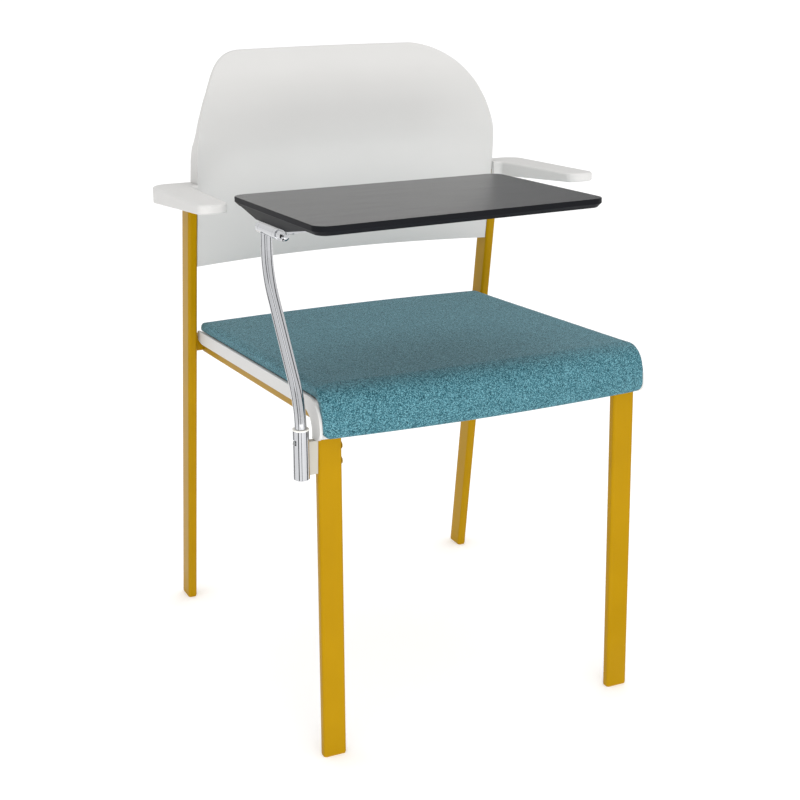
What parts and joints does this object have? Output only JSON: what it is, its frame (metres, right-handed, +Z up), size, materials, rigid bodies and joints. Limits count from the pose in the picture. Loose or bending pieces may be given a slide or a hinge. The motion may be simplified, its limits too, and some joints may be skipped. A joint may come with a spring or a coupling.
{
  "type": "armchair with writing tablet",
  "caption": "Stacking armchair on a steel tube frame with an upholstered seat, a moulded back and a writing tablet on a swinging post.",
  "frame": {"origin": "on the floor, under the middle of the chair's width and depth", "axes": "+Z up, the chair faces -Y, +X to the sitter's left; the tablet is on the sitter's right, at -X"},
  "size_m": [0.56, 0.6052, 0.8085],
  "materials": {
    "frame_coat": "golden-yellow gloss powder coat on steel tube",
    "glide_nylon": "moulded nylon matched to the tube",
    "shell_plastic": "light grey polypropylene, fine moulded grain",
    "board_ply": "bare plywood, hidden under the pad",
    "pad_fabric": "teal heather upholstery weave",
    "tablet_laminate": "graphite, satin to gloss, reflecting the light above",
    "bracket_plastic": "graphite moulded plastic",
    "post_chrome": "polished chrome plate",
    "screw_steel": "zinc-plated steel",
    "bush_nylon": "light grey nylon",
    "socket_coat": "light grey coat"
  },
  "bodies": {
    "chair_frame": {"front_leg_left": "frame_coat", "front_leg_right": "frame_coat", "rear_leg_left": "frame_coat", "rear_leg_right": "frame_coat", "side_rail_left": "frame_coat", "side_rail_right": "frame_coat", "front_cross_tube": "frame_coat", "rear_cross_tube": "frame_coat", "socket_screws": "frame_coat", "foot_glide_front_left": "glide_nylon", "foot_glide_front_right": "glide_nylon", "foot_glide_rear_left": "glide_nylon", "foot_glide_rear_right": "glide_nylon", "seat_pan": "shell_plastic", "back_shell": "shell_plastic", "arm_left": "shell_plastic", "arm_right": "shell_plastic", "seat_board": "board_ply", "seat_pad": "pad_fabric", "socket_sleeve": "post_chrome", "seat_screws": "screw_steel", "back_screws": "screw_steel", "arm_screws": "screw_steel", "socket_bush_upper": "bush_nylon", "socket_bush_lower": "bush_nylon", "socket_plug": "bush_nylon", "socket_bracket": "socket_coat"},
    "swing_post": {"post": "post_chrome", "stop_pin": "screw_steel", "hinge_barrel": "post_chrome", "hinge_bush_front": "bush_nylon", "hinge_bush_rear": "bush_nylon"},
    "writing_tablet": {"tablet_top": "tablet_laminate", "tablet_bracket": "bracket_plastic", "tablet_screws": "screw_steel", "hinge_leaf": "post_chrome", "hinge_pin": "post_chrome", "hinge_nut": "screw_steel"}
  },
  "joints": [
    {"name": "post_swing", "type": "hinge", "parent": "chair_frame", "child": "swing_post", "pos_m": [-0.238, -0.219, 0.4], "axis": [0, 0, 1], "range_deg": [-90, 0]},
    {"name": "tablet_flip", "type": "hinge", "parent": "swing_post", "child": "writing_tablet", "pos_m": [-0.238, -0.123, 0.6435], "axis": [0, -0.9988, 0.0489], "range_deg": [0, 100]}
  ]
}
